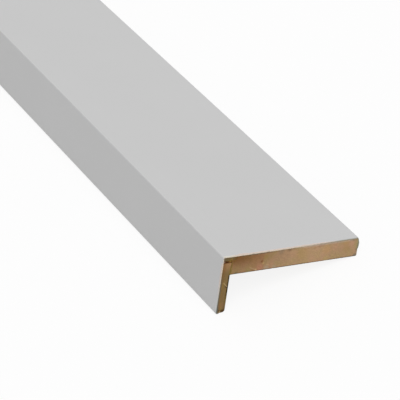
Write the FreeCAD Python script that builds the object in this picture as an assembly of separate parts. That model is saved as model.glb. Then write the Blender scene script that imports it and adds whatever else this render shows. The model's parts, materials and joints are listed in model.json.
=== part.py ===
import FreeCAD, Part

import math
import os

# Telescopic door architrave: an L-shaped trim moulding, sold by the length.
# A wide face board covers the joint between door frame and wall. A thin leg strip is glued into a
# rebate along one back edge of the board and slides into a groove in the frame. One foil wraps both:
# it starts under the leg's tip, climbs the leg, crosses the face and turns down the free edge.
#
# The cross-section is drawn upright, in millimetres: x runs across the face from the leg's outer
# side, z runs up with 0 at the face. It is then turned to the pose in which the moulding lies on a
# level floor, on the leg's tip and the free back edge, and extruded along Y.

# Stock
length = 2150.0
face_width = 75.0             # over the foil
face_thickness = 10.0         # over the foil

# Foil, and how far it runs on past the rounded corner at each of its two ends
foil_thickness = 0.4
foil_edge_lap = 4.6
foil_tip_lap = 0.8

# Leg strip
leg_thickness = 4.4
leg_height = 27.0

# Rebate that holds the leg: the wood left above it, and the leg's clearances in it
rebate_lip = 1.9
leg_head_gap = 1.0
leg_side_gap = 0.15

# Rounded corners of the wood; the foil's outer radii are larger by its thickness
ridge_radius = 0.3
free_edge_radius = 0.8
back_edge_radius = 0.5
tip_outer_radius = 0.6
tip_inner_radius = 1.5

# Places that follow from the sizes above
wood_left = foil_thickness
wood_right = face_width - foil_thickness
wood_top = -foil_thickness
wood_back = -face_thickness
rebate_ceiling = wood_top - rebate_lip
rebate_wall = wood_left + leg_thickness + leg_side_gap
leg_right = wood_left + leg_thickness
leg_top = rebate_ceiling - leg_head_gap
leg_foot = leg_top - leg_height


def rounded_path(corners):
    """Edges through the corners (x, z, radius), with an arc tangent to both sides at each rounded one."""
    points = [FreeCAD.Vector(x, 0, z) for x, z, _ in corners]
    radii = [radius for _, _, radius in corners]
    edges = []
    start = points[0]
    for i in range(1, len(corners) - 1):
        corner = points[i]
        back = (points[i - 1] - corner).normalize()
        ahead = (points[i + 1] - corner).normalize()
        half_angle = back.getAngle(ahead) / 2
        reach = radii[i] / math.tan(half_angle)
        if radii[i] > 0:
            arc_start = corner + back * reach
            arc_end = corner + ahead * reach
            bisector = (back + ahead).normalize()
            arc_middle = corner + bisector * (radii[i] / math.sin(half_angle) - radii[i])
            edges.append(Part.LineSegment(start, arc_start).toShape())
            edges.append(Part.Arc(arc_start, arc_middle, arc_end).toShape())
            start = arc_end
        else:
            edges.append(Part.LineSegment(start, corner).toShape())
            start = corner
    edges.append(Part.LineSegment(start, points[-1]).toShape())
    return edges


def closed_section(corners):
    """A face bounded by the corners (x, z, radius). The first corner is a sharp one."""
    return Part.Face(Part.Wire(rounded_path(corners + [corners[0]])))


def face_board_section():
    return closed_section([
        (wood_left, rebate_ceiling, 0),
        (wood_left, wood_top, ridge_radius),
        (wood_right, wood_top, free_edge_radius),
        (wood_right, wood_back, back_edge_radius),
        (rebate_wall, wood_back, 0),
        (rebate_wall, rebate_ceiling, 0),
    ])


def leg_strip_section():
    return closed_section([
        (wood_left, leg_top, 0),
        (leg_right, leg_top, 0),
        (leg_right, leg_foot, tip_inner_radius),
        (wood_left, leg_foot, tip_outer_radius),
    ])


def wrap_foil_section():
    """The band between two like paths: the wood's surface, and the same path one thickness outside it."""
    tip_end = wood_left + tip_outer_radius + foil_tip_lap
    edge_end = wood_top - free_edge_radius - foil_edge_lap
    inner = rounded_path([
        (tip_end, leg_foot, 0),
        (wood_left, leg_foot, tip_outer_radius),
        (wood_left, wood_top, ridge_radius),
        (wood_right, wood_top, free_edge_radius),
        (wood_right, edge_end, 0),
    ])
    outer = rounded_path([
        (tip_end, leg_foot - foil_thickness, 0),
        (0, leg_foot - foil_thickness, tip_outer_radius + foil_thickness),
        (0, 0, ridge_radius + foil_thickness),
        (face_width, 0, free_edge_radius + foil_thickness),
        (face_width, edge_end, 0),
    ])
    under_tip = Part.LineSegment(inner[0].firstVertex().Point, outer[0].firstVertex().Point).toShape()
    on_edge = Part.LineSegment(inner[-1].lastVertex().Point, outer[-1].lastVertex().Point).toShape()
    return Part.Face(Part.Wire(inner + [on_edge] + outer[::-1] + [under_tip]))


def rest_angle():
    """Turn about Y, in radians, that sets the section on its two lines of contact with the floor.

    One contact is the back edge's rounding, and the other is what stands lowest at the leg's tip: its
    inner rounding, or the foil's end. Each is a circle (x, z, radius), and the floor is the steeper of
    the two lines that touch the edge and a tip from below."""
    edge = (wood_right - back_edge_radius, wood_back + back_edge_radius, back_edge_radius)
    strip_tip = (leg_right - tip_inner_radius, leg_foot + tip_inner_radius, tip_inner_radius)
    foil_tip = (wood_left + tip_outer_radius + foil_tip_lap, leg_foot - foil_thickness, 0)
    slopes = []
    for tip in (strip_tip, foil_tip):
        across = edge[0] - tip[0]
        rise = edge[1] - tip[1]
        distance = math.hypot(across, rise)
        slopes.append(math.atan2(rise, across) + math.asin((tip[2] - edge[2]) / distance))
    return max(slopes)


def laid_down(sections):
    """The sections turned to rest on the floor, with the origin under the middle of the whole."""
    turn = math.degrees(rest_angle())
    turned = [s.rotated(FreeCAD.Vector(0, 0, 0), FreeCAD.Vector(0, 1, 0), turn) for s in sections]
    box = Part.makeCompound(turned).BoundBox
    to_origin = FreeCAD.Vector(-(box.XMin + box.XMax) / 2, -length / 2, -box.ZMin)
    return [s.translated(to_origin) for s in turned]


sections = {
    "face_board": face_board_section(),
    "leg_strip": leg_strip_section(),
    "wrap_foil": wrap_foil_section(),
}

os.makedirs("parts", exist_ok=True)
for name, section in zip(sections, laid_down(sections.values())):
    solid = section.extrude(FreeCAD.Vector(0, length, 0))
    solid.exportStep(f"parts/{name}.step")
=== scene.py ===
import json
import math

import bmesh
import bpy
from bpy.props import FloatProperty, FloatVectorProperty, PointerProperty
from mathutils import Matrix, Vector, noise


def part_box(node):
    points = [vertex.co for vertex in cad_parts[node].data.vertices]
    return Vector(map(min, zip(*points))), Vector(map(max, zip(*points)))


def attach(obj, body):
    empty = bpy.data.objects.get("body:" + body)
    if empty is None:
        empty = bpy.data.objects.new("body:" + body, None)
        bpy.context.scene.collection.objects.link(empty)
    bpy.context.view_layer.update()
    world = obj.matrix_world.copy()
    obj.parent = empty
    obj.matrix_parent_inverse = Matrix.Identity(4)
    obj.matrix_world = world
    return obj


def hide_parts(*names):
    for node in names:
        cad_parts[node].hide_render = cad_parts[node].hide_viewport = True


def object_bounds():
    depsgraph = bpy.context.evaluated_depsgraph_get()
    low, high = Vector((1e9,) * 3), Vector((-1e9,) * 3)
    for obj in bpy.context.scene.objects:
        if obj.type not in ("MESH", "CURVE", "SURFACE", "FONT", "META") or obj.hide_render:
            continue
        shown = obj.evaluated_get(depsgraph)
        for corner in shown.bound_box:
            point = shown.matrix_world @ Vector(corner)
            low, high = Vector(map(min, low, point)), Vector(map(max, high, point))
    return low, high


bl_info = {
    "name": "Architrave moulding",
    "version": (1, 0, 0),
    "blender": (4, 5, 0),
    "location": "3D View > Sidebar > Moulding",
    "description": "Dresses a foil-wrapped door architrave and sets it on a plain studio floor",
    "category": "Object",
}

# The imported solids, and what is read from them
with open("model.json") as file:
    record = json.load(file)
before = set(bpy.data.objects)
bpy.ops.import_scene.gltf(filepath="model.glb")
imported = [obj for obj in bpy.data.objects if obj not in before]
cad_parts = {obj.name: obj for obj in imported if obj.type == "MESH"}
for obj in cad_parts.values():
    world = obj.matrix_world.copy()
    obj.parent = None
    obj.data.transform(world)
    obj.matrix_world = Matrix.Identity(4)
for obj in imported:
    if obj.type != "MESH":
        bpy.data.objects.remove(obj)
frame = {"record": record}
cad_low, cad_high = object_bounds()
mounts = {mount["name"]: mount for mount in frame["record"]["mounts"]}
stock_length = cad_high.y - cad_low.y
back_normal = Vector(mounts["board_back"]["axis"])
lean = math.atan2(-back_normal.x, -back_normal.z)

# The two sawn ends: name, place along the stock and the way inwards
ENDS = (("near", 0, 1), ("far", stock_length, -1))

MILLIMETRE = 0.001
TINY = 1e-6


def mm(value):
    return value * MILLIMETRE


def tone(red, green, blue):
    """A colour written in the usual 0 to 255 display values, as the linear one that Blender takes."""
    shares = (red / 255, green / 255, blue / 255)
    return tuple(s / 12.92 if s <= 0.04045 else ((s + 0.055) / 1.055) ** 2.4 for s in shares)


def length(name, millimetres, description):
    return FloatProperty(name=name, description=description, default=mm(millimetres), min=0.0,
                         precision=5, unit="LENGTH", subtype="DISTANCE")


def degrees(name, value, description):
    return FloatProperty(name=name, description=description, default=math.radians(value), subtype="ANGLE")


def paint(name, red, green, blue, description):
    return FloatVectorProperty(name=name, description=description, default=tone(red, green, blue),
                               size=3, min=0.0, max=1.0, subtype="COLOR")


class MouldingSizes(bpy.types.PropertyGroup):
    """The section's sizes, over the foil where it says so."""
    face_width: length("Face width", 75, "Width of the face over the foil")
    face_thickness: length("Thickness", 10, "Thickness of the board over the foil")
    foil_thickness: length("Foil thickness", 0.4, "Thickness of the wrapped foil")
    foil_edge_lap: length("Foil on the free edge", 4.6, "Foil below the rounded free edge")
    foil_tip_lap: length("Foil under the leg", 0.8, "Foil past the rounding of the leg's tip")
    leg_thickness: length("Leg thickness", 4.4, "Thickness of the leg strip without foil")
    leg_height: length("Leg height", 27, "Height of the leg strip without foil")
    rebate_lip: length("Rebate lip", 1.9, "Wood left between the rebate and the face")
    leg_head_gap: length("Gap above the leg", 1.0, "Open gap between leg and rebate")
    leg_side_gap: length("Glue joint", 0.15, "Clearance between the leg and the rebate's wall")
    ridge_radius: length("Ridge radius", 0.3, "Rounding of the wood along the ridge")
    free_edge_radius: length("Free edge radius", 0.8, "Rounding of the face's free edge")
    back_edge_radius: length("Back edge radius", 0.5, "Rounding of the free edge's back arris")
    tip_outer_radius: length("Tip outer radius", 0.6, "Rounding of the tip under the foil")
    tip_inner_radius: length("Tip inner radius", 1.5, "Rounding of the tip's bare corner")


class MouldingWear(bpy.types.PropertyGroup):
    """How the saw and handling left the two ends."""
    cell: length("Cell", 0.25, "Size of the small faces that carry the ends' relief")
    saw_depth: length("Saw relief", 0.12, "Depth of the torn fibres on the sawn faces")
    arris_depth: length("Broken arris", 0.15, "How far the sawn face's lower arris is broken back")
    corner_depth: length("Worn corner", 0.3, "How far the free edge's sawn corner is worn back")
    corner_round: length("Worn side", 0.35, "How far the same corner is worn in from the side")
    chip_reach: length("Chip reach", 1.5, "Farthest that the foil is chipped back from a cut")
    chip_depth: length("Chip depth", 0.08, "Thickness of the top layer that a chip takes off")
    feather_depth: length("Feathered end", 0.2, "How much the foil thins at its end on the edge")
    feather_length: length("Feather length", 2, "Length over which the foil thins towards its end")
    score_depth: length("Score depth", 0.2, "Depth of the score across the leg's sawn face")
    scratch_depth: length("Scratch depth", 0.08, "Depth of the scratch on the board's sawn face")
    nick_depth: length("Nick depth", 0.2, "Depth of the nick in the board's sawn face")
    bead_radius: length("Glue bead", 0.45, "Radius of the glue squeezed out of the leg's joint")
    seam_recess: length("Glue recess", 0.2, "How far the glue above the leg lies behind the cut")


class MouldingFinish(bpy.types.PropertyGroup):
    """Colours of the foil, the bare fibreboard and the glue."""
    foil: paint("Foil", 199, 199, 199, "Matt decor foil")
    foil_chip: paint("Chipped foil", 213, 195, 184, "Base of the foil where its top is off")
    foil_chip_ridge: paint("Chips at the ridge", 216, 213, 201, "Base of the foil chipped there")
    foil_cut: paint("Cut foil", 208, 196, 178, "The foil's clean cut edge")
    foil_cut_ridge: paint("Cut at the ridge", 172, 162, 157, "The smudged cut at the ridge")
    foil_cut_low: paint("Lower cut", 140, 131, 118, "The cut's darker lower side beside the ridge")
    foil_cut_glue: paint("Glued cut", 108, 108, 88, "The foil's cut edge where glue darkens it")
    foil_cut_edge: paint("Cut on the edge", 142, 138, 122, "The foil's cut down the free edge")
    foil_cut_leg: paint("Cut down the leg", 162, 168, 165, "The foil's cut edge down the leg")
    foil_cut_foot: paint("Cut under the tip", 64, 64, 62, "The foil's grimy cut under the tip")
    board: paint("Board", 164, 135, 101, "Fibreboard of the face board")
    board_dense: paint("Dense board", 140, 116, 84, "The board's denser outer layers")
    board_pink: paint("Pinkish fibre", 176, 134, 108, "Pinkish patches in the board")
    board_olive: paint("Olive fibre", 160, 138, 92, "Olive patches in the board")
    board_edge: paint("Edge fibre", 146, 136, 98, "Olive fibre beside the foil on the free edge")
    board_corner: paint("Corner fibre", 140, 124, 102, "Greyer fibre below that foil")
    stain: paint("Stain", 108, 70, 32, "Darkened fibre beside the leg")
    stain_rim: paint("Stain rim", 150, 102, 72, "Reddish rim of the stain")
    scratch: paint("Scratch", 190, 164, 128, "Torn fibre in the board's scratch")
    lip: paint("Lip", 104, 94, 64, "Glue-soaked fibre of the lip above the leg")
    # Arris: painted shade along the lower arris of the near sawn face
    arris: paint("Arris", 62, 40, 18, "Broken fibre along the sawn face's lower arris")
    # A dark olive grey, laid as a band just below the foil on the board's sawn faces and in patches on the
    # foil's cut
    dark_olive_grey: paint("Dirt", 96, 89, 73, "Dirt caught under the foil")
    # Grime at two corners of the board and beside the foil on the leg, and painted shade in the line
    # between foil and wood near the leg's tip
    grime_and_shade: paint("Grime", 92, 94, 88, "Bluish grey grime at corners and round the tip")
    leg: paint("Leg", 124, 101, 65, "Denser fibreboard of the leg strip")
    leg_head: paint("Leg head", 152, 117, 81, "The leg's upper end in the rebate")
    leg_streak: paint("Leg streaks", 140, 116, 58, "Olive streaks down the leg")
    # Leg skin: a dark skin along the leg's inner face, and on the sawn faces painted shade along its inner
    # edge
    leg_skin_and_shade: paint("Leg skin", 48, 37, 23, "Dark skin of the leg's inner face")
    leg_tip: paint("Leg tip", 72, 50, 26, "Worn fibre at the leg's tip")
    score: paint("Score", 58, 44, 26, "Dark score across the leg")
    burr: paint("Burr", 184, 160, 118, "Pale burr beside the score")
    glue: paint("Glue", 122, 106, 40, "Dried glue in the joint and squeezed out of it")
    # Amber glue, darkened to carry painted shade of the gap above the leg
    glue_amber_and_shade: paint("Amber glue", 82, 45, 7, "Glue in the gap above the leg")
    glue_gold: paint("Golden glue", 138, 106, 46, "Thin glue where the gap meets the joint")
    glue_pale: paint("Pale glue", 168, 148, 134, "Glue above the leg where it meets the foil")


class MouldingStage(bpy.types.PropertyGroup):
    """Camera, lamps and floor."""
    azimuth: degrees("Azimuth", -23.0495, "Turn of the view round the moulding")
    elevation: degrees("Elevation", 34.7062, "Height of the view above the horizon")
    roll: degrees("Roll", -8.4104, "Turn of the camera about its own axis")
    distance: length("Distance", 1089.31, "Camera to the point aimed at")
    lens: FloatProperty(name="Lens", description="Focal length in millimetres", default=211.03,
                        unit="CAMERA")
    aim: FloatVectorProperty(name="Aim", description="Point aimed at, from the ridge's near corner",
                             default=(-0.00016, 0.01748, 0.02313), size=3, unit="LENGTH")
    sun: FloatProperty(name="Sun", description="Strength of the soft key light", default=1.84)
    sun_spread: degrees("Sun spread", 50, "Softness of the key light")
    sun_from: FloatVectorProperty(name="Sun from", description="Direction that the key light comes from",
                                  default=(0.0, -0.56, 0.83), size=3, subtype="DIRECTION")
    sky: FloatProperty(name="Sky", description="Strength of the even light from all round", default=0.54)
    floor: paint("Floor", 238, 238, 238, "Pale floor")
    floor_glow: FloatProperty(name="Floor glow", description="Share of plain white that the camera sees",
                              default=0.87, min=0.0, max=1.0, subtype="FACTOR")
    floor_size: length("Floor size", 80000, "Side of the square floor")


def at(x, z, y=0):
    """A place of the upright section, or a way across it."""
    return Vector((x, y, z))


class Section:
    """The places of the upright section, in metres: x across the face, z up, y along from the near end."""

    def __init__(self, sizes):
        foil = sizes.foil_thickness
        self.right = sizes.face_width - foil
        self.left = foil
        self.top = -foil
        self.back = -sizes.face_thickness
        self.ceiling = self.top - sizes.rebate_lip
        self.leg_right = foil + sizes.leg_thickness
        self.wall = self.leg_right + sizes.leg_side_gap
        self.leg_top = self.ceiling - sizes.leg_head_gap
        self.leg_foot = self.leg_top - sizes.leg_height
        self.tip = self.leg_foot - foil
        self.foil_edge_end = self.top - sizes.free_edge_radius - sizes.foil_edge_lap
        self.foil_tip_end = foil + sizes.tip_outer_radius + sizes.foil_tip_lap
        middle = at(sizes.face_width / 2, (self.top + self.back) / 2)
        turn = Matrix.Rotation(lean, 4, "Y")
        self.corner = Vector(mounts["near_end"]["pos_m"]) - turn @ middle
        self.laid = Matrix.Translation(self.corner) @ turn


def section():
    return Section(bpy.context.scene.moulding_sizes)


# Modelling by hand, in code: every piece is drawn upright and laid down when it is done

def near(a, b):
    return abs(a - b) < TINY


def deselect():
    bpy.ops.object.select_all(action="DESELECT")


def select_only(piece):
    deselect()
    piece.select_set(True)
    bpy.context.view_layer.objects.active = piece


def start(piece, name):
    """Names a primitive that was just added, and applies its place and size to its mesh."""
    piece.name = name
    piece.data.name = name
    bpy.ops.object.transform_apply(location=True, rotation=True, scale=True)
    return piece


def add_sheet(name, low, high):
    """A flat rectangle from corner to corner, facing up."""
    deselect()
    bpy.ops.mesh.primitive_plane_add(size=1, location=(low + high) / 2)
    sheet = bpy.context.object
    sheet.scale = (high.x - low.x, high.y - low.y, 1)
    return start(sheet, name)


def add_section_grid(name, low, high, cell):
    """An upright rectangle in small cells, facing the viewer of the near end."""
    deselect()
    columns = round((high.x - low.x) / cell)
    rows = round((high.z - low.z) / cell)
    bpy.ops.mesh.primitive_grid_add(x_subdivisions=columns, y_subdivisions=rows, size=1,
                                    location=(low + high) / 2, rotation=(math.pi / 2, 0, 0))
    grid = bpy.context.object
    grid.scale = (high.x - low.x, high.z - low.z, 1)
    return start(grid, name)


def open_mesh(piece):
    """Starts edit mode, which close_mesh ends."""
    select_only(piece)
    bpy.ops.object.mode_set(mode="EDIT")


def close_mesh():
    bpy.ops.object.mode_set(mode="OBJECT")


def pick(piece, kind, wanted):
    """In edit mode, selects only those of kind EDGE or FACE whose middle is wanted."""
    bpy.ops.mesh.select_mode(type=kind)
    bpy.ops.mesh.select_all(action="DESELECT")
    mesh = bmesh.from_edit_mesh(piece.data)
    for part in mesh.edges if kind == "EDGE" else mesh.faces:
        corners = [vertex.co for vertex in part.verts]
        part.select = wanted(sum(corners, Vector()) / len(corners))
    mesh.select_flush_mode()
    bmesh.update_edit_mesh(piece.data)


def pull(piece, kind, wanted, way, times=1):
    """Extrudes what is wanted, as often as said."""
    pick(piece, kind, wanted)
    for _ in range(times):
        bpy.ops.mesh.extrude_region_move(TRANSFORM_OT_translate={"value": way})


def cut(place, normal, drop=False):
    """Cuts the whole mesh by a plane, and drops what lies in front of it if asked."""
    bpy.ops.mesh.select_all(action="SELECT")
    bpy.ops.mesh.bisect(plane_co=place, plane_no=normal, use_fill=drop, clear_outer=drop, threshold=TINY)


def round_corner(x, z, out_x, out_z, radius, facets):
    """Takes a long corner of a prism off in facets whose edges lie on the arc."""
    centre = at(x - out_x * radius, z - out_z * radius)
    step = math.pi / 2 / facets
    for i in range(facets):
        angle = (i + 0.5) * step
        normal = at(out_x * math.cos(angle), out_z * math.sin(angle))
        cut(centre + normal * radius * math.cos(step / 2), normal, drop=True)


def round_edge(piece, wanted, radius, segments):
    pick(piece, "EDGE", wanted)
    bpy.ops.mesh.bevel(offset=radius, offset_type="OFFSET", segments=segments, profile=0.5, affect="EDGES")


def split(piece, wanted, width, cell):
    """Splits a long strip into narrow ones, through its two end edges."""
    pick(piece, "EDGE", wanted)
    bpy.ops.mesh.subdivide(number_cuts=round(width / cell) - 1)


def close_solid():
    """Merges doubles, turns all faces outwards and ends edit mode."""
    bpy.ops.mesh.select_all(action="SELECT")
    bpy.ops.mesh.remove_doubles(threshold=TINY)
    bpy.ops.mesh.normals_make_consistent(inside=False)
    close_mesh()


def amounts(piece, amount_at):
    """An amount from 0 to 1 for each vertex, by its place."""
    return [min(1.0, max(0.0, amount_at(vertex.co))) for vertex in piece.data.vertices]


def mark(piece, name, amount_at):
    """Gives each vertex its amount in a vertex group, for displace."""
    group = piece.vertex_groups.new(name=name)
    for index, amount in enumerate(amounts(piece, amount_at)):
        if amount > 0:
            group.add([index], amount, "REPLACE")


def tint(piece, name, amount_at):
    """Gives each vertex its amount in an attribute, for a material."""
    attribute = piece.data.attributes.new(name=name, type="FLOAT", domain="POINT")
    attribute.data.foreach_set("value", amounts(piece, amount_at))


def displace(piece, group, direction, distance, texture=None):
    """Moves a group's vertices by the distance, or with a texture by a tenth to eleven tenths of it."""
    modifier = piece.modifiers.new(group, "DISPLACE")
    modifier.vertex_group = group
    modifier.direction = direction
    modifier.strength = distance
    modifier.mid_level = 0.0
    if texture:
        modifier.mid_level = -0.1
        modifier.texture = texture
        modifier.texture_coords = "LOCAL"
    bpy.ops.object.modifier_apply(modifier=modifier.name)


def torn_fibre_texture(name, grain):
    """Cloudy relief of fibres that the saw tore."""
    texture = bpy.data.textures.new(name, "CLOUDS")
    texture.noise_scale = grain
    texture.noise_depth = 3
    texture.contrast = 1.6
    return texture


def rise(value, low, high):
    """0 below low, 1 above high, and smooth in between."""
    share = min(1.0, max(0.0, (value - low) / (high - low)))
    return share * share * (3 - 2 * share)


def groove(piece, name, line, inner, outer, depth):
    """Presses a line into the near sawn face. Its places and widths are in millimetres of the section."""
    first, last = (at(mm(x), mm(z)) for x, z in line)

    def pressed(co):
        if not near(co.y, 0):
            return 0
        share = (co - first).dot(last - first) / (last - first).length_squared
        off = (co - first.lerp(last, min(1.0, max(0.0, share)))).length
        return 1 - rise(off, mm(inner), mm(outer))

    mark(piece, name, pressed)
    displace(piece, name, "Y", depth)


def free_corner(co, place):
    """1 at the upper corner of the free edge, fading out within 3 mm of it."""
    beside = rise(co.x, place.right - mm(2.2), place.right - mm(0.2))
    return beside * rise(co.z, mm(-2.8), mm(-1.0))


def tear_ends(piece, place, lower_edge, texture):
    """Roughens both sawn faces inwards, breaks their lower arris back and wears the free edge's corner."""
    wear = bpy.context.scene.moulding_wear
    arris_height = 2 * wear.cell

    def broken(co):
        ragged = 0.5 + 0.5 * noise.noise(Vector((co.x / mm(1.3), co.y, 0)))
        return ragged * (1 - rise(co.z - lower_edge(co.x), 0, arris_height))

    for end, y, way in ENDS:
        mark(piece, f"torn_{end}", lambda co: near(co.y, y))
        mark(piece, f"arris_{end}", lambda co: broken(co) if near(co.y, y) else 0)
        mark(piece, f"corner_{end}", lambda co: free_corner(co, place) if near(co.y, y) else 0)
        displace(piece, f"torn_{end}", "Y", way * wear.saw_depth, texture)
        displace(piece, f"arris_{end}", "Y", way * wear.arris_depth)
        displace(piece, f"corner_{end}", "Y", way * wear.corner_depth)
        displace(piece, f"corner_{end}", "X", -wear.corner_round)


def lay_down(piece, place):
    """Turns a finished upright piece to its rest on the floor, with its place in its mesh."""
    select_only(piece)
    piece.matrix_world = place.laid
    bpy.ops.object.transform_apply(location=True, rotation=True, scale=True)
    bpy.ops.object.shade_smooth_by_angle(angle=math.radians(30))


def hand_over(piece, node):
    """Makes the piece stand for its solid, and makes sure that it stays within it."""
    slack = mm(0.02)
    low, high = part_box(node)
    for vertex in piece.data.vertices:
        if any(c < l - slack or c > h + slack for c, l, h in zip(vertex.co, low, high)):
            raise RuntimeError(f"{piece.name} reaches out of {node} at {tuple(vertex.co)}")
    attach(piece, "root")
    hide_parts(node)


# Materials

# Depth of the fibre that counts as the sawn face, in millimetres. It fades out over as much again.
SAWN_DEPTH = 0.6


class Graph:
    """A material's nodes. Most methods add nodes and return an output.

    Colour is what is laid so far. The places x, y and z are those of the upright section, in millimetres:
    across from the leg's outer face, along from the near end and up from the board's face."""

    def __init__(self, name, colour=None, place=None):
        self.material = bpy.data.materials.new(name)
        self.material.use_nodes = True
        self.tree = self.material.node_tree
        self.shader = self.tree.nodes["Principled BSDF"]
        self.colour = colour
        if place:
            self.where = self.upright(place)
            self.x, self.y, self.z = self.axes(self.where)

    def feed(self, socket, value):
        if isinstance(value, bpy.types.NodeSocket):
            self.tree.links.new(value, socket)
        else:
            socket.default_value = value

    def add(self, kind, inputs, output=0, **settings):
        node = self.tree.nodes.new(kind)
        for key, value in settings.items():
            setattr(node, key, value)
        for key, value in inputs.items():
            self.feed(node.inputs[key], value)
        return node.outputs[output]

    def upright(self, place):
        """Object coordinates turned back to the upright section."""
        coordinates = self.add("ShaderNodeTexCoord", {}, "Object")
        shift = -(place.laid.to_3x3().transposed() @ place.corner) / MILLIMETRE
        scale = (1 / MILLIMETRE,) * 3
        return self.add("ShaderNodeMapping", {"Vector": coordinates, "Location": shift,
                                              "Rotation": (0, -lean, 0), "Scale": scale})

    def axes(self, vector):
        node = self.tree.nodes.new("ShaderNodeSeparateXYZ")
        self.feed(node.inputs[0], vector)
        return node.outputs

    def noise(self, scale, detail=2.0, roughness=0.5, distortion=0.0):
        """Noise with a scale per millimetre: one for all ways, or one for each of x, y and z."""
        vector = self.where
        if isinstance(scale, tuple):
            vector = self.add("ShaderNodeMapping", {"Vector": vector, "Scale": scale})
            scale = 1.0
        return self.add("ShaderNodeTexNoise", {"Vector": vector, "Scale": scale, "Detail": detail,
                                               "Roughness": roughness, "Distortion": distortion})

    def ramp(self, value, low, high, to_low=0.0, to_high=1.0):
        return self.add("ShaderNodeMapRange", {"Value": value, "From Min": low, "From Max": high,
                                               "To Min": to_low, "To Max": to_high},
                        interpolation_type="SMOOTHSTEP")

    def spread(self, field, to_low, to_high):
        """A noise field's usual span brought to another one."""
        return self.ramp(field, 0.3, 0.7, to_low, to_high)

    def across(self, low, high, to_low=0.0, to_high=1.0):
        return self.ramp(self.x, low, high, to_low, to_high)

    def up(self, low, high, to_low=0.0, to_high=1.0):
        return self.ramp(self.z, low, high, to_low, to_high)

    def calc(self, operation, a, b=0.0):
        return self.add("ShaderNodeMath", {0: a, 1: b}, operation=operation)

    def product(self, first, *others):
        for other in others:
            first = self.calc("MULTIPLY", first, other)
        return first

    def blend(self, share, a, b, mode="MIX"):
        colours = [(*c, 1) if not isinstance(c, bpy.types.NodeSocket) else c for c in (a, b)]
        return self.add("ShaderNodeMix", {"Factor": share, 6: colours[0], 7: colours[1]}, 2,
                        data_type="RGBA", blend_type=mode)

    def attribute(self, name):
        return self.add("ShaderNodeAttribute", {}, "Fac", attribute_name=name)

    def wander(self, value, field, span):
        """The value moved to and fro by a noise field, by up to half the span each way."""
        return self.add("ShaderNodeMath", {0: self.calc("SUBTRACT", field, 0.5), 1: span, 2: value},
                        operation="MULTIPLY_ADD")

    def lay(self, over, *shares):
        """Lays a colour over the one so far, by the product of the shares."""
        self.colour = self.blend(self.product(*shares), self.colour, over)

    def shade(self, field, darker, lighter):
        """Multiplies the colour so far by a grey that follows a noise field."""
        grey = self.spread(field, darker, lighter)
        grey_colour = self.add("ShaderNodeCombineColor", {0: grey, 1: grey, 2: grey})
        self.colour = self.blend(1.0, self.colour, grey_colour, "MULTIPLY")

    def lay_marks(self, marks, places, face, base=0.0):
        """Lays small round marks on a sawn face, with their heights counted from the base."""
        for x, z, inner, outer, shade, share in marks:
            self.lay(tone(*shade), self.spot(places, x, base + z, inner, outer), face, share)

    def spot(self, places, x, z, inner, outer):
        """1 within the inner radius of a place of the section, and 0 beyond the outer one."""
        off_x = self.calc("SUBTRACT", places[0], x)
        off_z = self.calc("SUBTRACT", places[2], z)
        square = self.calc("ADD", self.product(off_x, off_x), self.product(off_z, off_z))
        return self.ramp(self.calc("SQRT", square), outer, inner)

    def stroke(self, first, last, inner, outer):
        """1 along a line across the section, as a spot is round its place."""
        run = Vector(last) - Vector(first)
        way = run.normalized()
        half = run.length / 2
        past = self.calc("ADD", self.product(self.x, way.x), self.product(self.z, way.y))
        past = self.calc("SUBTRACT", past, Vector(first).dot(way) + half)
        off = self.calc("SUBTRACT", self.product(self.z, way.x), self.product(self.x, way.y))
        off = self.calc("SUBTRACT", off, first[1] * way.x - first[0] * way.y)
        beside = self.ramp(self.calc("ABSOLUTE", off), outer, inner)
        return self.product(beside, self.ramp(self.calc("ABSOLUTE", past), half + outer, half))

    def ragged(self):
        """The places pushed about by up to half a millimetre, so that spots get uneven outlines."""
        field = self.add("ShaderNodeTexNoise", {"Vector": self.where, "Scale": 1.5, "Detail": 2.0}, 1)
        push = self.add("ShaderNodeVectorMath", {0: field, 1: (0.5, 0.5, 0.5)}, operation="SUBTRACT")
        return self.axes(self.add("ShaderNodeVectorMath", {0: push, 1: self.where}, operation="ADD"))

    def at_ends(self, depth, fade):
        """1 on both sawn faces, and 0 deeper than depth plus fade."""
        far = stock_length / MILLIMETRE
        near_end = self.ramp(self.y, depth + fade, depth)
        return self.calc("MAXIMUM", near_end, self.ramp(self.y, far - depth - fade, far - depth))

    def sawn_face(self):
        """1 on both sawn faces, and 0 elsewhere."""
        return self.at_ends(SAWN_DEPTH, SAWN_DEPTH)

    def near_face(self):
        """1 on the sawn face at the near end, and 0 elsewhere."""
        return self.ramp(self.y, 2 * SAWN_DEPTH, SAWN_DEPTH)

    def bump(self, height, strength, distance):
        return self.add("ShaderNodeBump", {"Height": height, "Strength": strength, "Distance": distance})

    def finish(self, roughness, normal, specular):
        self.feed(self.shader.inputs["Base Color"], self.colour)
        self.feed(self.shader.inputs["Roughness"], roughness)
        self.feed(self.shader.inputs["Normal"], normal)
        self.shader.inputs["Specular IOR Level"].default_value = specular
        return self.material


# Lines on the near sawn faces, each from place to place across and up from the ridge, in millimetres
SCRATCH = ((15.2, -7.7), (19.2, -9.4))
NICK = ((21.6, -4.5), (21.3, -5.9))
SCORE = ((3.3, -16.1), (4.7, -17.6))
BURR = ((2.1, -14.0), (4.0, -16.2))

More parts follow.
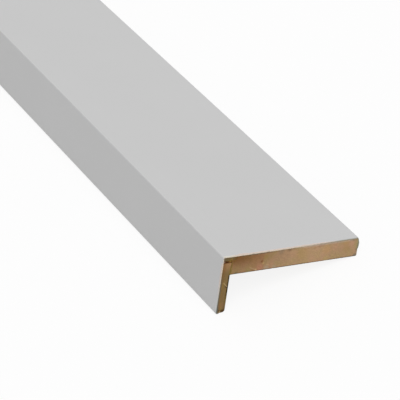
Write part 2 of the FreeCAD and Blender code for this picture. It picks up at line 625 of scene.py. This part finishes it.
# Marks on sawn faces: place across and up, inner and outer radius in millimetres, colour and strength.
# Those of the board are on its near face and up from the ridge, those of the leg up from its foot.
BOARD_MARKS = (
    (21.4, -5.2, 0.2, 0.9, (112, 64, 28), 0.7),
    (22.3, -6.3, 0.2, 0.9, (180, 150, 98), 0.6),
    (24.7, -7.3, 0.2, 0.8, (184, 156, 112), 0.4),
    (20.6, -8.4, 0.6, 2.4, (182, 122, 102), 0.32),
    (18.6, -9.1, 0.2, 0.7, (196, 168, 112), 0.6),
    (14.5, -9.3, 0.5, 1.8, (136, 128, 80), 0.4),
    (24.4, -9.0, 0.5, 1.8, (160, 146, 124), 0.5),
    (28.5, -9.2, 0.4, 1.6, (160, 148, 124), 0.4),
    (32.5, -4.0, 2.0, 6.0, (144, 120, 90), 0.3),
    (23.4, -2.8, 0.4, 2.2, (146, 120, 68), 0.5),
    (6.9, -1.3, 0.4, 1.4, (86, 62, 32), 0.4),
    (6.3, -2.7, 0.3, 1.2, (116, 84, 36), 0.5),
    # Painted shade at the lower edge beside the inner corner
    (8.0, -9.9, 0.3, 1.8, (98, 92, 66), 0.6),
    (31.5, -1.2, 0.5, 2.3, (128, 112, 92), 0.5),
    (36.0, -0.8, 0.4, 1.8, (112, 92, 68), 0.6),
    (43.5, -4.2, 1.5, 5.5, (160, 134, 84), 0.5),
    (50.2, -1.9, 0.3, 1.1, (124, 98, 56), 0.45),
    (51.0, -5.0, 3.0, 9.0, (184, 148, 116), 0.3),
    (53.0, -0.7, 0.4, 2.2, (132, 104, 78), 0.5),
    (57.2, -8.9, 0.5, 2.5, (168, 146, 96), 0.6),
    (57.0, -4.0, 1.0, 3.5, (182, 138, 98), 0.4),
    (68.2, -5.0, 0.8, 3.0, (152, 126, 80), 0.5),
    (71.0, -2.6, 0.6, 1.8, (184, 142, 116), 0.4),
    (67.4, -1.6, 0.6, 2.6, (164, 132, 86), 0.55),
    (74.0, -6.2, 0.2, 0.9, (96, 78, 52), 0.6),
)
LEG_MARKS = (
    # Painted shade near the tip
    (1.8, 1.2, 0.2, 0.8, (64, 54, 42), 0.7),
    (2.3, 0.8, 0.15, 0.5, (158, 144, 108), 0.8),
    (2.6, 3.8, 0.6, 2.4, (144, 104, 74), 0.3),
)


def fibre_surface(graph, fibres, flecks, fleck_shade, relief_depth, smoothest, roughest):
    """Shades the colour laid so far by fibres and flecks, and gives the surface their relief."""
    graph.shade(fibres, 0.86, 1.12)
    graph.shade(flecks, fleck_shade, 1.1)
    relief = graph.calc("ADD", fibres, graph.product(flecks, 0.6))
    normal = graph.bump(relief, 0.5, relief_depth)
    return graph.finish(graph.spread(fibres, smoothest, roughest), normal, 0.05)


def board_material(place):
    """Medium-density fibreboard: short fibres lying flat, denser at both faces, stained beside the leg."""
    finish = bpy.context.scene.moulding_finish
    graph = Graph("board_fibre", finish.board, place)
    edges = (place.top, place.back, place.right, place.wall)
    top, back, right, wall = (edge / MILLIMETRE for edge in edges)
    fibres = graph.noise((0.7, 0.7, 5.0), 4.0, 0.65, 0.6)
    flecks = graph.noise((3.0, 3.0, 7.0), 3.0, 0.7)
    smears = graph.noise((0.3, 0.3, 1.0))
    patches = graph.noise(0.16)
    ragged = graph.ragged()
    by_cuts = graph.at_ends(2.0, 7.0)
    sawn_face = graph.sawn_face()
    near_face = graph.near_face()

    # The fibre: denser outwards, pinkish and olive in patches
    dense = graph.calc("MAXIMUM", graph.up(top - 1.8, top), graph.up(back + 1.2, back))
    graph.lay(finish.board_dense, dense, 0.4)
    graph.lay(finish.board_pink, graph.ramp(patches, 0.44, 0.62), 0.4)
    graph.lay(finish.board_olive, graph.ramp(patches, 0.52, 0.36), 0.45)

    # The stain: darkest at the leg, with an uneven outer limit at 22 to 23 mm
    reach = graph.wander(graph.x, graph.noise(0.5), 3.0)
    within = graph.ramp(reach, 23.0, 22.0)
    stain_share = graph.calc("ADD", graph.ramp(reach, 40.0, 6.0, 0.0, 0.92), graph.product(within, 0.08))
    graph.lay(finish.stain, stain_share, graph.up(-8.5, -1.5, 0.4, 0.88), by_cuts)
    graph.lay(finish.stain_rim, within, graph.ramp(reach, 13.0, 18.0), by_cuts, 0.3)

    # Darker just below the foil, least beside the ridge, and painted shade along the broken lower arris
    below_foil_share = graph.product(graph.across(40.0, 12.0, 0.3, 0.8), graph.across(7.0, 11.0, 0.15, 1.0))
    below_foil_share = graph.calc("MAXIMUM", below_foil_share, graph.across(62.0, 68.0, 0.0, 0.6))
    smeared = graph.ramp(smears, 0.38, 0.62)
    graph.lay(finish.dark_olive_grey, graph.up(top - 1.2, top - 0.2), smeared, below_foil_share, sawn_face)
    # Painted shade along the lower arris of the near sawn face
    graph.lay(finish.arris, graph.up(back + 0.55, back + 0.1), near_face, 0.85)

    # The lip above the leg, and the glue beside the leg
    graph.lay(finish.lip, graph.across(8.0, 5.0), graph.up(-2.4, -2.0), 0.7)
    graph.lay(finish.glue_gold, graph.spot(ragged, 4.5, -2.0, 0.2, 1.1), sawn_face, 0.7)
    graph.lay(finish.glue, graph.across(wall + 1.0, wall + 0.4), graph.up(-2.8, -4.0), sawn_face, 0.5)

    # Small marks, one of them painted shade at the lower edge beside the inner corner, and grime at two
    # corners
    graph.lay_marks(BOARD_MARKS, ragged, near_face)
    graph.lay(finish.grime_and_shade, graph.spot(ragged, 1.0, -1.2, 0.3, 1.0), sawn_face, 0.25)
    graph.lay(finish.grime_and_shade, graph.spot(ragged, right - 1.0, back + 0.4, 0.4, 1.5), near_face, 0.7)

    # The free edge: olive along the foil, dark where its glue soaked in, and greyer below
    beside_foil = graph.across(right - 1.6, right - 0.6)
    under_foil = graph.up(-7.5, -5.0)
    graph.lay(finish.board_edge, beside_foil, under_foil, sawn_face, 0.6)
    graph.lay(finish.board_corner, beside_foil, graph.calc("SUBTRACT", 1.0, under_foil), sawn_face, 0.5)
    graph.lay(finish.foil_cut_glue, graph.across(right - 0.8, right - 0.3),
              graph.up(-7.0, -5.5), graph.up(-1.5, -2.5), sawn_face, 0.5)

    # Paler fibre under the foil over the outer half of the face, and the scratch
    pale_top = graph.product(graph.up(top - 1.2, top - 0.4), graph.across(38.0, 46.0))
    graph.lay(finish.foil_chip, pale_top, graph.across(73.0, 69.0), sawn_face, 0.25)
    graph.lay(finish.scratch, graph.stroke(*SCRATCH, 0.05, 0.3), near_face, 0.5)
    return fibre_surface(graph, fibres, flecks, 0.88, mm(0.12), 0.78, 0.92)


def leg_material(place):
    """Denser fibreboard of the leg: upright fibres, a dark skin on its inner face, and painted shade along
    its inner edge on the sawn faces.
    """
    finish = bpy.context.scene.moulding_finish
    graph = Graph("leg_fibre", finish.leg, place)
    inside, head, foot = (edge / MILLIMETRE for edge in (place.leg_right, place.leg_top, place.leg_foot))
    fibres = graph.noise((5.0, 0.7, 0.7), 4.0, 0.65, 0.6)
    flecks = graph.noise((7.0, 3.0, 3.0), 3.0, 0.7)
    streaks = graph.noise((0.8, 0.3, 0.12))
    ragged = graph.ragged()
    sawn_face = graph.sawn_face()
    near_face = graph.near_face()

    # The fibre: warmer at the head, streaked below, stained beside the foil
    graph.lay(finish.leg_head, graph.up(-9.5, -4.0))
    graph.lay(finish.leg_streak, graph.ramp(streaks, 0.45, 0.65), graph.up(-8.0, -14.0), 0.7)
    graph.lay(finish.stain, graph.across(3.2, 0.8), graph.up(-15.0, -8.0, 0.25, 0.45))

    # The skin, with painted shade along the inner edge of the sawn faces: wider and paler towards the tip
    widened = graph.calc("ADD", graph.x, graph.up(-16.0, -24.0, 0.0, 0.3))
    skin = graph.ramp(graph.wander(widened, flecks, 0.5), inside - 1.1, inside - 0.3)
    skin_and_shade_share = graph.product(skin, graph.ramp(sawn_face, 0.0, 1.0, 0.45, 1.0))
    graph.lay(finish.leg_skin_and_shade, skin_and_shade_share, graph.up(-9.0, -10.5), graph.up(-24.0, -17.5, 0.35, 1.0))

    # Glue beside the rebate's wall, grime and painted shade beside the foil, and amber glue with painted
    # shade of the gap on the leg's head
    in_rebate = graph.product(graph.up(-4.6, -6.0), graph.up(-10.4, -9.6))
    graph.lay(finish.glue, graph.across(inside - 0.8, inside - 0.2), in_rebate, sawn_face, 0.55)
    graph.lay(finish.grime_and_shade, graph.across(1.6, 0.9), graph.up(-8.0, -17.0, 0.0, 0.5))
    # Painted shade in the line between foil and wood near the tip
    graph.lay(finish.grime_and_shade, graph.across(1.4, 0.8), graph.up(foot + 5.0, foot + 2.0), 0.8)
    # Painted shade of the gap, in the amber glue's colour, along the top of the leg's sawn face
    graph.lay(finish.glue_amber_and_shade, graph.up(head - 0.5, head - 0.1), sawn_face, 0.6)

    # The worn tip, and the score with its burr
    tip = graph.product(graph.up(foot + 2.1, foot + 1.2), graph.across(2.2, 2.8))
    graph.lay(finish.leg_tip, tip, sawn_face, 0.85)
    # The first of these marks is painted shade near the tip
    graph.lay_marks(LEG_MARKS, ragged, sawn_face, foot)
    graph.lay(finish.burr, graph.stroke(*BURR, 0.05, 0.3), near_face, 0.6)
    graph.lay(finish.score, graph.stroke(*SCORE, 0.05, 0.3), near_face, 0.85)
    return fibre_surface(graph, fibres, flecks, 0.9, mm(0.1), 0.7, 0.85)


def foil_material(place):
    """Smooth matt foil with a very fine pebble, chipped to its pale base along the saw cuts."""
    finish = bpy.context.scene.moulding_finish
    graph = Graph("grey_foil", finish.foil_chip, place)
    pebble = graph.noise(2.2)
    torn = graph.noise(2.0, 3.0, 0.6)
    chip = graph.attribute("chip_tone")
    graph.lay(finish.foil_chip_ridge, graph.across(8.0, 3.0), graph.across(0.3, 1.0))
    graph.shade(torn, 0.88, 1.06)
    base = graph.colour

    # The foil's top, faintly uneven, with its base showing in the chips
    graph.colour = finish.foil
    graph.shade(graph.noise(0.02, 1.0), 0.994, 1.002)
    graph.lay(base, graph.ramp(chip, 0.25, 0.75), graph.ramp(torn, 0.3, 0.5, 0.5, 1.0))
    graph.lay(finish.foil_cut_glue, graph.attribute("rim_tone"), graph.across(56.0, 66.0), 0.4)
    normal = graph.bump(pebble, 0.12, mm(0.02))
    return graph.finish(graph.ramp(chip, 0.2, 0.8, 0.6, 0.9), normal, 0.12)


def foil_cut_material(place):
    """The foil's cut: pale on the face, smudged at the ridge, olive at the free edge, grey down the leg."""
    finish = bpy.context.scene.moulding_finish
    graph = Graph("foil_cut", finish.foil_cut, place)
    foot = place.leg_foot / MILLIMETRE
    smear = graph.noise(1.1, 3.0, 0.6)
    drift = graph.noise(0.35)
    graph.lay(finish.dark_olive_grey, graph.ramp(drift, 0.5, 0.66), graph.across(7.0, 11.0), 0.45)
    at_edge = graph.ramp(graph.wander(graph.x, drift, 6.0), 30.0, 68.0)
    graph.lay(finish.foil_cut_glue, at_edge, graph.up(-0.5, -1.5, 0.75, 1.0))
    graph.lay(finish.foil_cut_leg, graph.ramp(graph.wander(graph.z, drift, 4.0), -5.0, -27.0))
    graph.lay(finish.foil_cut_edge, graph.across(70.0, 74.0), graph.up(-1.5, -2.5), 0.8)
    graph.lay(finish.foil_cut_foot, graph.up(foot + 0.2, foot), 0.9)
    smudged = graph.product(graph.up(-4.6, -3.2), graph.up(-1.6, -0.6, 0.15, 1.0))
    graph.lay(finish.foil_cut_ridge, smudged, graph.across(1.4, 0.8), 0.65)
    low_side = graph.product(graph.up(-0.15, -0.35), graph.across(0.6, 0.9))
    graph.lay(finish.foil_cut_low, low_side, graph.across(3.4, 2.4), 0.55)
    graph.shade(smear, 0.85, 1.1)
    normal = graph.bump(smear, 0.4, mm(0.05))
    return graph.finish(graph.spread(smear, 0.6, 0.85), normal, 0.2)


def glue_material(name, place, dark, light, pale):
    """Dried glue: dark along the leg's head, where the gap's glue also carries painted shade, light where
    the gap meets the joint, pale against the foil.
    """
    graph = Graph(name, dark, place)
    head = place.leg_top / MILLIMETRE
    lumps = graph.noise(0.9, 3.0)
    above_head = graph.ramp(graph.wander(graph.z, lumps, 0.3), head + 0.5, head + 0.8)
    away = graph.calc("MAXIMUM", above_head, graph.across(3.3, 4.3))
    graph.lay(light, away, graph.across(0.8, 3.0, 0.3, 1.0))
    graph.lay(pale, graph.across(2.0, 0.6), graph.up(-9.0, -8.0), 0.75)
    graph.shade(lumps, 0.7, 1.25)
    normal = graph.bump(lumps, 0.3, mm(0.1))
    return graph.finish(graph.spread(lumps, 0.45, 0.6), normal, 0.1)


class MOULDING_OT_face_board(bpy.types.Operator):
    """Makes the wide fibreboard with its rebate and its two sawn ends"""
    bl_idname = "moulding.face_board"
    bl_label = "Face board"

    def execute(self, context):
        sizes = context.scene.moulding_sizes
        wear = context.scene.moulding_wear
        place = section()
        low, high = at(place.left, place.back), at(place.right, place.top)
        board = add_section_grid("board", low, high, wear.cell)
        open_mesh(board)
        cut(at(place.wall, 0), at(1, 0))
        cut(at(0, place.ceiling), at(0, 1))
        pick(board, "FACE", lambda m: m.x < place.wall and m.z < place.ceiling)
        bpy.ops.mesh.delete(type="FACE")
        pull(board, "FACE", lambda m: True, (0, stock_length, 0))
        round_corner(place.left, place.top, -1, 1, sizes.ridge_radius, facets=3)
        round_corner(place.right, place.top, 1, 1, sizes.free_edge_radius, facets=8)
        round_corner(place.right, place.back, 1, -1, sizes.back_edge_radius, facets=4)
        close_solid()
        groove(board, "scratch", SCRATCH, 0.05, 0.35, wear.scratch_depth)
        groove(board, "nick", NICK, 0.1, 0.6, wear.nick_depth)
        texture = torn_fibre_texture("board_tear", mm(0.5))
        tear_ends(board, place, lambda x: place.back if x > place.wall - TINY else place.ceiling, texture)
        lay_down(board, place)
        board.data.materials.append(board_material(place))
        hand_over(board, "face_board")
        return {"FINISHED"}


class MOULDING_OT_leg_strip(bpy.types.Operator):
    """Makes the thin leg strip with its rounded tip and the score across its sawn face"""
    bl_idname = "moulding.leg_strip"
    bl_label = "Leg strip"

    def execute(self, context):
        sizes = context.scene.moulding_sizes
        wear = context.scene.moulding_wear
        place = section()
        low, high = at(place.left, place.leg_foot), at(place.leg_right, place.leg_top)
        leg = add_section_grid("leg", low, high, wear.cell)
        open_mesh(leg)
        pull(leg, "FACE", lambda m: True, (0, stock_length, 0))
        round_corner(place.leg_right, place.leg_foot, 1, -1, sizes.tip_inner_radius, facets=8)
        round_corner(place.left, place.leg_foot, -1, -1, sizes.tip_outer_radius, facets=4)
        close_solid()
        groove(leg, "score", SCORE, 0.05, 0.35, wear.score_depth)
        tear_ends(leg, place, lambda x: place.leg_foot, torn_fibre_texture("leg_tear", mm(0.4)))
        lay_down(leg, place)
        leg.data.materials.append(leg_material(place))
        hand_over(leg, "leg_strip")
        return {"FINISHED"}


# Rows of small faces beside each cut of the foil, over which it can be chipped
CHIP_ROWS = 14


def chip_row(wear):
    """The width of one of these rows, which together reach a little past the farthest chip."""
    return wear.chip_reach * 1.1 / CHIP_ROWS


def chip_share(along_wrap, seed):
    """How far back the foil is chipped at a place along the wrap, as a share of the farthest.

    The place is measured from the ridge, across the face if positive and down the leg if negative."""
    face = 0.95 * rise(along_wrap, mm(-0.3), mm(0.4)) * (1 - rise(along_wrap, mm(52), mm(68)))
    face += 0.6 * (1 - rise(abs(along_wrap - mm(10.5)), mm(1.2), mm(3)))
    leg = (1 - rise(along_wrap, mm(-4), mm(-2.6))) * rise(along_wrap, mm(-29), mm(-8))
    coarse = 0.5 + 0.5 * noise.noise(Vector((along_wrap / mm(2.4), seed, 0)))
    fine = 0.5 + 0.5 * noise.noise(Vector((along_wrap / mm(0.6), seed, 7)))
    return max(face, leg) * (0.25 + 0.5 * coarse + 0.25 * fine)


class MOULDING_OT_wrap_foil(bpy.types.Operator):
    """Makes the foil that wraps leg and board, chipped along its two saw cuts"""
    bl_idname = "moulding.wrap_foil"
    bl_label = "Wrap foil"

    def execute(self, context):
        sizes = context.scene.moulding_sizes
        wear = context.scene.moulding_wear
        place = section()
        foil = self.fold(place, sizes, wear)
        self.wear_down(foil, place, sizes, wear)
        lay_down(foil, place)
        foil.data.materials.append(foil_material(place))
        foil.data.materials.append(foil_cut_material(place))
        for face in foil.data.polygons:
            if abs(face.normal.y) > 0.9:
                face.material_index = 1
        hand_over(foil, "wrap_foil")
        return {"FINISHED"}

    def fold(self, place, sizes, wear):
        """Folds a flat sheet round the section, with small faces beside the cuts, and thickens it."""
        width, thickness = sizes.face_width, sizes.foil_thickness
        row = chip_row(wear)
        first, last = row * CHIP_ROWS, stock_length - row * CHIP_ROWS
        foil = add_sheet("foil", at(0, 0, first), at(width, 0, last))
        open_mesh(foil)
        pull(foil, "EDGE", lambda m: near(m.x, 0), (0, 0, place.tip))
        pull(foil, "EDGE", lambda m: near(m.x, width), (0, 0, place.foil_edge_end))
        pull(foil, "EDGE", lambda m: near(m.z, place.tip), (place.foil_tip_end, 0, 0))
        ridge, edge, tip = (radius + thickness for radius in (
            sizes.ridge_radius, sizes.free_edge_radius, sizes.tip_outer_radius))
        round_edge(foil, lambda m: near(m.x, 0) and near(m.z, 0), ridge, segments=4)
        round_edge(foil, lambda m: near(m.x, width) and near(m.z, 0), edge, segments=8)
        round_edge(foil, lambda m: near(m.x, 0) and near(m.z, place.tip), tip, segments=5)

        def on_end(m):
            return near(m.y, first) or near(m.y, last)

        split(foil, lambda m: on_end(m) and near(m.z, 0), width - ridge - edge, wear.cell)
        split(foil, lambda m: on_end(m) and near(m.x, 0), -place.tip - ridge - tip, wear.cell)
        split(foil, lambda m: on_end(m) and near(m.x, width), -place.foil_edge_end - edge, wear.cell)
        pull(foil, "EDGE", lambda m: near(m.y, first), (0, -row, 0), CHIP_ROWS)
        pull(foil, "EDGE", lambda m: near(m.y, last), (0, row, 0), CHIP_ROWS)
        bpy.ops.mesh.select_all(action="SELECT")
        bpy.ops.mesh.normals_make_consistent(inside=False)
        close_mesh()
        shell = foil.modifiers.new("thickness", "SOLIDIFY")
        shell.thickness = thickness
        shell.offset = -1
        shell.use_even_offset = True
        bpy.ops.object.modifier_apply(modifier=shell.name)
        return foil

    def wear_down(self, foil, place, sizes, wear):
        """Chips the foil along its cuts, thins its end on the free edge and wears its corners there."""
        half = sizes.foil_thickness / 2
        row = chip_row(wear)
        margin = row * CHIP_ROWS

        def from_cut(co):
            return min(co.y, stock_length - co.y)

        def chip(co):
            if co.z <= -half and co.x >= half:
                return 0
            reach = chip_share(co.x + co.z, 1 if co.y < margin else 40) * wear.chip_reach
            fading = 1 - rise(from_cut(co), margin - 3 * row, margin)
            return rise(reach - from_cut(co), -row, row) * fading

        def feather(co):
            if co.x < sizes.face_width - half:
                return 0
            return 1 - rise(co.z - place.foil_edge_end, 0, wear.feather_length)

        tint(foil, "rim_tone", lambda co: 1 - rise(from_cut(co), 0, mm(0.9)))
        tint(foil, "chip_tone", chip)
        mark(foil, "chip", chip)
        displace(foil, "chip", "NORMAL", -wear.chip_depth)
        mark(foil, "feather", feather)
        displace(foil, "feather", "X", -wear.feather_depth)
        for end, y, way in ENDS:
            mark(foil, f"corner_{end}",
                 lambda co: free_corner(co, place) * (1 - rise(abs(co.y - y), 0, margin)))
            displace(foil, f"corner_{end}", "Y", way * wear.corner_depth)
            displace(foil, f"corner_{end}", "X", -wear.corner_round)


class MOULDING_OT_glue(bpy.types.Operator):
    """Makes the glue above the leg and beside it, and the bead squeezed out along the inner corner"""
    bl_idname = "moulding.glue"
    bl_label = "Glue"

    def execute(self, context):
        wear = context.scene.moulding_wear
        finish = context.scene.moulding_finish
        place = section()
        self.fill_gap(place, wear, finish)
        self.run_bead(place, wear, finish)
        return {"FINISHED"}

    def fill_gap(self, place, wear, finish):
        """Fills the gap above the leg and the joint beside it, a little short of the wood all round."""
        clear, recess, hollow = mm(0.03), wear.seam_recess, mm(0.4)
        low = at(place.left + clear, place.leg_top + clear, recess)
        high = at(place.wall - clear, place.ceiling - clear, recess)
        beside_leg = place.leg_right + clear
        bottom = place.back + recess
        seam = add_section_grid("glue_seam", low, high, wear.cell)
        open_mesh(seam)
        cut(at(beside_leg, 0), at(1, 0))
        pull(seam, "EDGE", lambda m: near(m.z, low.z) and m.x > beside_leg, (0, 0, bottom - low.z))
        pull(seam, "FACE", lambda m: True, (0, stock_length - 2 * recess, 0))
        close_solid()
        texture = torn_fibre_texture("seam_lumps", mm(1.2))
        for end, y, way in ENDS:
            mark(seam, f"hollow_{end}", lambda co: near(co.y, y + way * recess))
            displace(seam, f"hollow_{end}", "Y", way * hollow, texture)
        lay_down(seam, place)
        material = glue_material("gap_glue", place, finish.glue_amber_and_shade, finish.glue_gold, finish.glue_pale)
        seam.data.materials.append(material)
        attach(seam, "root")

    def run_bead(self, place, wear, finish):
        """Runs a bead along the inner corner, and draws it in by uneven amounts."""
        radius, clear, lump_length, rings = wear.bead_radius, mm(0.2), mm(14), 300
        off_leg, below_board, drawn_in = radius * 0.3, radius * 0.2, radius * 0.7
        centre = at(place.leg_right + off_leg, place.back - below_board, stock_length / 2)
        deselect()
        bpy.ops.mesh.primitive_cylinder_add(vertices=10, radius=radius, depth=stock_length - 2 * clear,
                                            location=centre, rotation=(math.pi / 2, 0, 0))
        bead = start(bpy.context.object, "glue_bead")
        open_mesh(bead)
        pick(bead, "EDGE", lambda m: near(m.y, stock_length / 2))
        bpy.ops.mesh.subdivide(number_cuts=rings)
        close_solid()
        mark(bead, "lump", lambda co: 1.0)
        displace(bead, "lump", "NORMAL", -drawn_in, torn_fibre_texture("bead_lumps", lump_length))
        lay_down(bead, place)
        bead.data.materials.append(glue_material("bead_glue", place, finish.glue, finish.glue, finish.glue))
        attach(bead, "root")


class MOULDING_OT_stage(bpy.types.Operator):
    """Sets the pale floor, the soft light and the camera"""
    bl_idname = "moulding.stage"
    bl_label = "Stage"

    def execute(self, context):
        stage = context.scene.moulding_stage
        self.lay_floor(stage)
        self.light(context, stage)
        self.aim_camera(context, stage)
        context.scene.view_settings.view_transform = "Standard"
        return {"FINISHED"}

    def lay_floor(self, stage):
        deselect()
        bpy.ops.mesh.primitive_plane_add(size=stage.floor_size)
        floor = bpy.context.object
        floor.name = "floor"
        graph = Graph("pale_floor")
        tree = graph.tree
        graph.shader.inputs["Base Color"].default_value = (*stage.floor, 1)
        graph.shader.inputs["Roughness"].default_value = 1.0
        graph.shader.inputs["Specular IOR Level"].default_value = 0.0
        glow = graph.add("ShaderNodeEmission", {"Color": (1, 1, 1, 1), "Strength": 1.0})
        seen = self.seen(graph)
        share = graph.calc("MULTIPLY", seen, stage.floor_glow)
        mixed = graph.add("ShaderNodeMixShader", {0: share, 1: graph.shader.outputs[0], 2: glow})
        tree.links.new(mixed, tree.nodes["Material Output"].inputs["Surface"])
        floor.data.materials.append(graph.material)

    def seen(self, graph):
        """1 for what the camera sees directly or in a reflection, and 0 for what lights the object."""
        rays = graph.tree.nodes.new("ShaderNodeLightPath")
        mirrored = graph.calc("MAXIMUM", rays.outputs["Is Glossy Ray"], rays.outputs["Is Transmission Ray"])
        return graph.calc("MAXIMUM", rays.outputs["Is Camera Ray"], mirrored)

    def light(self, context, stage):
        bpy.ops.object.light_add(type="SUN")
        sun = bpy.context.object
        sun.name = "key_light"
        sun.data.energy = stage.sun
        sun.data.angle = stage.sun_spread
        sun.rotation_mode = "QUATERNION"
        sun.rotation_quaternion = Vector(stage.sun_from).to_track_quat("Z", "Y")
        world = bpy.data.worlds.new("even_light")
        world.use_nodes = True
        context.scene.world = world
        tree = world.node_tree
        rays = tree.nodes.new("ShaderNodeLightPath")
        strength = tree.nodes.new("ShaderNodeMapRange")
        strength.inputs["To Min"].default_value = stage.sky
        strength.inputs["To Max"].default_value = 1.0
        tree.links.new(rays.outputs["Is Camera Ray"], strength.inputs["Value"])
        background = tree.nodes["Background"]
        background.inputs["Color"].default_value = (1, 1, 1, 1)
        tree.links.new(strength.outputs[0], background.inputs["Strength"])

    def aim_camera(self, context, stage):
        bpy.ops.object.camera_add()
        camera = bpy.context.object
        camera.name = "camera"
        camera.data.lens = stage.lens
        camera.data.sensor_width = 36.0
        back = Vector((math.sin(stage.azimuth) * math.cos(stage.elevation),
                       -math.cos(stage.azimuth) * math.cos(stage.elevation), math.sin(stage.elevation)))
        target = section().corner + Vector(stage.aim)
        camera.location = target + back * stage.distance
        camera.rotation_mode = "QUATERNION"
        upright = (-back).to_track_quat("-Z", "Y")
        camera.rotation_quaternion = upright @ Matrix.Rotation(stage.roll, 3, "Z").to_quaternion()
        context.scene.camera = camera


STEPS = (MOULDING_OT_face_board, MOULDING_OT_leg_strip, MOULDING_OT_wrap_foil, MOULDING_OT_glue,
         MOULDING_OT_stage)
GROUPS = {
    "moulding_sizes": MouldingSizes,
    "moulding_wear": MouldingWear,
    "moulding_finish": MouldingFinish,
    "moulding_stage": MouldingStage,
}


class VIEW3D_PT_moulding(bpy.types.Panel):
    """Lists the steps, with the sizes, wear, colours and stage that they use"""
    bl_label = "Moulding"
    bl_idname = "VIEW3D_PT_moulding"
    bl_space_type = "VIEW_3D"
    bl_region_type = "UI"
    bl_category = "Moulding"

    def draw(self, context):
        for step in STEPS:
            self.layout.operator(step.bl_idname)
        for name in GROUPS:
            group = getattr(context.scene, name)
            box = self.layout.box()
            for key in group.__annotations__:
                box.prop(group, key)


def register():
    for name, group in GROUPS.items():
        bpy.utils.register_class(group)
        setattr(bpy.types.Scene, name, PointerProperty(type=group))
    for step in STEPS:
        bpy.utils.register_class(step)
    bpy.utils.register_class(VIEW3D_PT_moulding)


def unregister():
    bpy.utils.unregister_class(VIEW3D_PT_moulding)
    for step in reversed(STEPS):
        bpy.utils.unregister_class(step)
    for name, group in GROUPS.items():
        delattr(bpy.types.Scene, name)
        bpy.utils.unregister_class(group)


def main():
    register()
    bpy.ops.moulding.face_board()
    bpy.ops.moulding.leg_strip()
    bpy.ops.moulding.wrap_foil()
    bpy.ops.moulding.glue()
    bpy.ops.moulding.stage()


if __name__ == "__main__":
    main()
